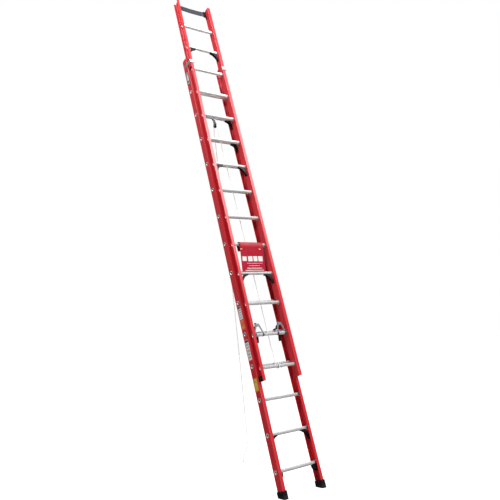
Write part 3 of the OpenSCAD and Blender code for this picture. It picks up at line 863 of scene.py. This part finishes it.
def rope_fibre():
    """Off-white spun polyester with painted shade in the grooves between the strands, a little
    soiled.
    """
    m = Look("rope_fibre", srgb(246, 246, 245), 0.84, Sheen_Weight=0.35, Sheen_Roughness=0.6,
             Specular_IOR_Level=0.3)
    groove = m.attribute("groove")
    yarn = m.noise((1500, 1500, 420), 3, 0.6)
    soil = m.noise((20, 20, 3), 3, 0.6)
    m.tint(m.spread(soil, 0.5, 0.8, 0.0, 0.35), srgb(232, 230, 225))
    m.tint(m.spread(yarn, 0.45, 0.75, 0.0, 0.35), srgb(228, 227, 225))
    # Painted shade: the grooves between the strands are darkened by their depth.
    m.tint(m.spread(groove, 0.25, 1.0, 0.0, 0.7), srgb(176, 175, 172))
    m.bump(yarn, 0.18, 0.8)
    return m.material


def vinyl():
    """Coated banner cloth: a scrim of crossed threads under a red skin that pinkens downwards."""
    m = Look("red_vinyl", srgb(168, 12, 32), 0.5, Coat_Weight=0.1, Coat_Roughness=0.3,
             Specular_IOR_Level=0.3)
    rung = fly_rung_z(5) * MM
    scrim = m.math("ADD", m.bands("X", 900), m.bands("Z", 900))
    waves = m.noise((14, 14, 9), 3, 0.5)
    m.tint(m.spread(m.along("Z"), rung - 0.16, rung - 0.02, 0.75, 0.0), srgb(176, 14, 52))
    m.tint(m.spread(waves, 0.42, 0.75, 0.0, 0.35), srgb(178, 20, 56))
    m.tint(m.spread(scrim, 0.4, 1.8, 0.0, 0.2), srgb(118, 12, 32))
    m.rough(waves, 0.3, 0.7, 0.32, 0.48)
    m.bump(scrim, 0.06, 0.5)
    return m.material


def printed(name, color, shade):
    """Printed film: a faint dot screen and slight scuffs."""
    m = Look(name, color, 0.42, Coat_Weight=0.3, Coat_Roughness=0.2)
    dots = m.cells(1800)
    scuff = m.noise((90, 90, 25), 4, 0.65)
    m.tint(m.spread(dots, 0.3, 0.9, 0.0, 0.25), shade)
    m.tint(m.spread(scuff, 0.55, 0.85, 0.0, 0.5), shade)
    m.rough(scuff, 0.3, 0.8, 0.36, 0.58)
    m.bump(scuff, 0.02, 0.4)
    return m.material


FINISH = {
    "red_fibreglass": fibreglass(),
    "rung_aluminium": extruded_aluminium(),
    "black_plastic": moulded_plastic(),
    "zinc_steel": formed_steel("zinc_steel", srgb(96, 96, 100), srgb(70, 70, 75), 0.4),
    "black_rubber": boot_rubber(),
    "bracket_steel": formed_steel("bracket_steel", srgb(214, 216, 219), srgb(182, 186, 191), 0.38),
    "lock_steel": formed_steel("lock_steel", srgb(150, 152, 160), srgb(112, 115, 126), 0.4),
    "pale_plastic": pale_nylon(),
    "black_casting": cast_hook(),
    "strap_webbing": webbing(),
    "red_vinyl": vinyl(),
    "rope": rope_fibre(),
}
INK = {
    "pale": printed("film_pale", srgb(232, 230, 226), srgb(198, 196, 192)),
    "dark": printed("film_dark", srgb(40, 38, 48), srgb(78, 76, 84)),
    "violet": printed("film_violet", srgb(58, 44, 92), srgb(92, 78, 122)),
    "grey": printed("film_grey", srgb(176, 174, 182), srgb(198, 196, 202)),
    "orange": printed("film_orange", srgb(222, 104, 52), srgb(198, 84, 40)),
    "amber": printed("film_amber", srgb(232, 136, 82), srgb(214, 116, 62)),
    "yellow": printed("film_yellow", srgb(208, 166, 48), srgb(182, 140, 36)),
    "straw": printed("film_straw", srgb(216, 184, 84), srgb(196, 160, 62)),
}


def finished(obj, material):
    obj.data.materials.clear()
    obj.data.materials.append(material)


for node_name, obj in nodes.items():
    finished(obj, FINISH[SLOTS[node_name]])
for piece_name, slot_name in rounded.items():
    finished(bpy.data.objects[piece_name], FINISH[slot_name])
for rope in (rope_free, rope_fall, rope_knot):
    finished(rope, FINISH["rope"])
finished(rope_whipping, thread("whipping_thread", srgb(206, 196, 166)))
finished(sign, FINISH["red_vinyl"])
finished(sign_hem, FINISH["red_vinyl"])
finished(sign_print, INK["pale"])
finished(eyelets, formed_steel("eyelet_brass", srgb(214, 196, 150), srgb(190, 168, 118), 0.3))
finished(strap, FINISH["strap_webbing"])
finished(strap_stitches, thread("strap_thread", srgb(196, 200, 208)))
for label, parts in label_parts.items():
    for part, ink in parts:
        finished(part, INK[ink])
    whole = joined(label, [part for part, ink in parts])
    whole.name = label
    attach(whole, "base")

# The fall stretches between the pulley on the base and the knot on the fly.
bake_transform(rope_fall)


# ---- floor and light ----
def make_floor():
    """Grey paper made white for the camera by a painted glow: dimmer near the ladder so its shade
    shows, plain white far off; painted dark where gloss mirrors it.
    """
    size = 60.0
    corners = [(-size, -size, 0), (size, -size, 0), (size, size, 0), (-size, size, 0)]
    floor = put("floor", mesh_of("floor", corners, [(0, 1, 2, 3)], smooth=False))
    floor.location.z = -0.0005
    m = Look("floor_paper", srgb(200, 200, 199), 0.9, Specular_IOR_Level=0.1)
    m.tint(m.spread(m.noise(2.5, 2), 0.4, 0.8, 0.0, 0.3), srgb(196, 196, 195))
    # Painted light: the floor glows for camera rays only, 0.84 near the ladder rising to full
    # white 9 m off.
    seen = m.add("ShaderNodeLightPath").outputs["Is Camera Ray"]
    m.shader.inputs["Emission Color"].default_value = (1, 1, 1, 1)
    far = m.add("ShaderNodeVectorMath")
    far.operation = "LENGTH"
    m.link(m.place, far.inputs[0])
    white = m.spread(far.outputs["Value"], 3.0, 9.0, 0.84, 1.0)
    m.link(m.math("MULTIPLY", seen, white), m.shader.inputs["Emission Strength"])
    # Painted shade: the floor turns dark grey in glossy reflections.
    m.tint(m.add("ShaderNodeLightPath").outputs["Is Glossy Ray"], srgb(56, 56, 56))
    finished(floor, m.material)


def area_light(name, place, target, size, power):
    data = bpy.data.lights.new(name, "AREA")
    data.shape = "DISK"
    data.size = size
    data.energy = power
    light = put(name, data)
    light.location = place
    aim = Vector(target) - Vector(place)
    light.rotation_mode = "QUATERNION"
    light.rotation_quaternion = aim.to_track_quat("-Z", "Y")


def make_world():
    """White to the camera, brighter in reflections than as fill light."""
    world = bpy.data.worlds.new("studio")
    world.use_nodes = True
    tree = world.node_tree
    tree.nodes.clear()
    out = tree.nodes.new("ShaderNodeOutputWorld")
    path = tree.nodes.new("ShaderNodeLightPath")
    shader = None
    for strength, ray in ((0.2, None), (0.3, "Is Glossy Ray"), (1.0, "Is Camera Ray")):
        sky = tree.nodes.new("ShaderNodeBackground")
        sky.inputs["Color"].default_value = (1, 1, 1, 1)
        sky.inputs["Strength"].default_value = strength
        if ray is None:
            shader = sky.outputs["Background"]
            continue
        mix = tree.nodes.new("ShaderNodeMixShader")
        tree.links.new(path.outputs[ray], mix.inputs["Fac"])
        tree.links.new(shader, mix.inputs[1])
        tree.links.new(sky.outputs["Background"], mix.inputs[2])
        shader = mix.outputs["Shader"]
    tree.links.new(shader, out.inputs["Surface"])
    scene.world = world


make_floor()
area_light("key", (2.6, -4.8, 8.4), (0, 0.7, 3.0), 3.0, 420)
area_light("left", (-3.6, -0.6, 8.2), (0, 0.9, 4.2), 2.2, 370)
area_light("card", (3.2, -2.7, 6.2), (0, 0.7, 3.4), 3.2, 110)
area_light("front", (-0.8, -5.6, 2.4), (0, 0.4, 1.6), 2.4, 105)
area_light("back", (2.2, 4.8, 4.6), (0, 0.6, 3.0), 2.5, 60)
make_world()
scene.view_settings.view_transform = "Standard"
scene.view_settings.look = "None"
